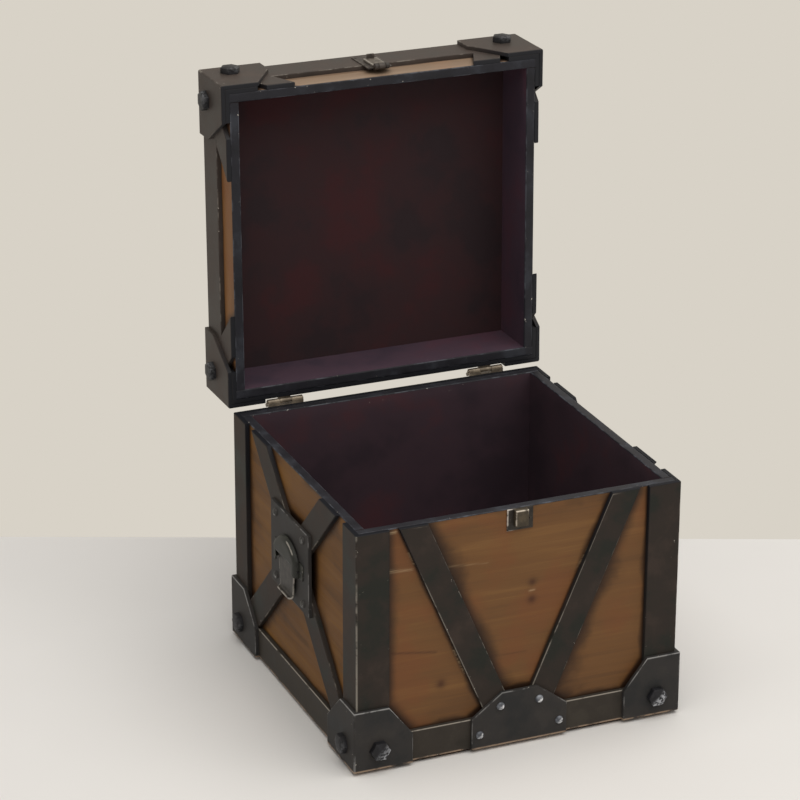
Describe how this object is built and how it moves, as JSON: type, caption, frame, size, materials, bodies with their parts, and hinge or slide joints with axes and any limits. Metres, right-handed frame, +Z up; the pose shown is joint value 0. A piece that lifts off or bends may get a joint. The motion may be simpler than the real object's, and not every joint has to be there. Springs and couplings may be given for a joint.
{
  "type": "wooden storage box",
  "caption": "Square wooden storage box with painted straps and bolted corner brackets, a hinged tray lid with a flip-over hasp latch, and a drop pull on each side.",
  "frame": {"origin": "centre of the underside of the base board, on the surface that the box stands on", "axes": "+Z up, the front with the catch faces -Y, +X to the right as seen from the front; the lid is open in the rest pose"},
  "size_m": [0.3074, 0.3533, 0.5072],
  "materials": {
    "stained_pine": "stained and waxed",
    "painted_strap": "matte paint, worn",
    "painted_plate": "matte paint, worn",
    "blackened_bolt": "blackened",
    "steel_rivet": "worn",
    "aged_brass": "aged",
    "antique_bronze": "antiqued",
    "aged_iron": "aged"
  },
  "bodies": {
    "body": {"back_bottom_rail": "painted_strap", "back_hinge_rail": "painted_strap", "back_left_corner_angle": "painted_strap", "back_left_corner_bracket": "painted_plate", "back_panel": "stained_pine", "back_right_corner_angle": "painted_strap", "back_right_corner_bracket": "painted_plate", "body_corner_bolts": "blackened_bolt", "bottom_board": "stained_pine", "dome_rivets": "steel_rivet", "front_bottom_rail": "painted_strap", "front_gusset_plate": "painted_plate", "front_left_brace": "painted_strap", "front_left_corner_angle": "painted_strap", "front_left_corner_bracket": "painted_plate", "front_panel": "stained_pine", "front_right_brace": "painted_strap", "front_right_corner_angle": "painted_strap", "front_right_corner_bracket": "painted_plate", "hinge_pins": "aged_brass", "latch_catch": "antique_bronze", "left_bottom_rail": "painted_strap", "left_handle_plate": "painted_plate", "left_hinge_body_leaf": "aged_brass", "left_panel": "stained_pine", "left_pull_hood": "aged_iron", "left_side_braces": "painted_strap", "pull_pins": "aged_iron", "right_bottom_rail": "painted_strap", "right_handle_plate": "painted_plate", "right_hinge_body_leaf": "aged_brass", "right_panel": "stained_pine", "right_pull_hood": "aged_iron", "right_side_braces": "painted_strap"},
    "lid": {"latch_pin": "antique_bronze", "latch_plate": "antique_bronze", "left_hinge_lid_leaf": "aged_brass", "lid_back_band": "painted_strap", "lid_back_left_bracket": "painted_plate", "lid_back_right_bracket": "painted_plate", "lid_back_wall": "stained_pine", "lid_corner_angles": "painted_strap", "lid_corner_bolts": "blackened_bolt", "lid_front_band": "painted_strap", "lid_front_brace_ends": "painted_strap", "lid_front_left_bracket": "painted_plate", "lid_front_right_bracket": "painted_plate", "lid_front_wall": "stained_pine", "lid_left_band": "painted_strap", "lid_left_brace_ends": "painted_strap", "lid_left_wall": "stained_pine", "lid_right_band": "painted_strap", "lid_right_brace_ends": "painted_strap", "lid_right_wall": "stained_pine", "lid_top_board": "stained_pine", "right_hinge_lid_leaf": "aged_brass"},
    "hasp": {"latch_hasp": "antique_bronze"},
    "left_pull": {"left_drop_pull": "aged_iron"},
    "right_pull": {"right_drop_pull": "aged_iron"}
  },
  "joints": [
    {"name": "lid_hinge", "type": "hinge", "parent": "body", "child": "lid", "pos_m": [0, 0.1438, 0.2145], "axis": [1, 0, 0], "range_deg": [0, 91]},
    {"name": "hasp_hinge", "type": "hinge", "parent": "lid", "child": "hasp", "pos_m": [0, 0.1548, 0.50095], "axis": [1, 0, 0], "range_deg": [0, 180]},
    {"name": "left_pull_hinge", "type": "hinge", "parent": "body", "child": "left_pull", "pos_m": [-0.1492, 0, 0.13275], "axis": [0, 1, 0], "range_deg": [0, 90]},
    {"name": "right_pull_hinge", "type": "hinge", "parent": "body", "child": "right_pull", "pos_m": [0.1492, 0, 0.13275], "axis": [0, -1, 0], "range_deg": [0, 90]}
  ]
}
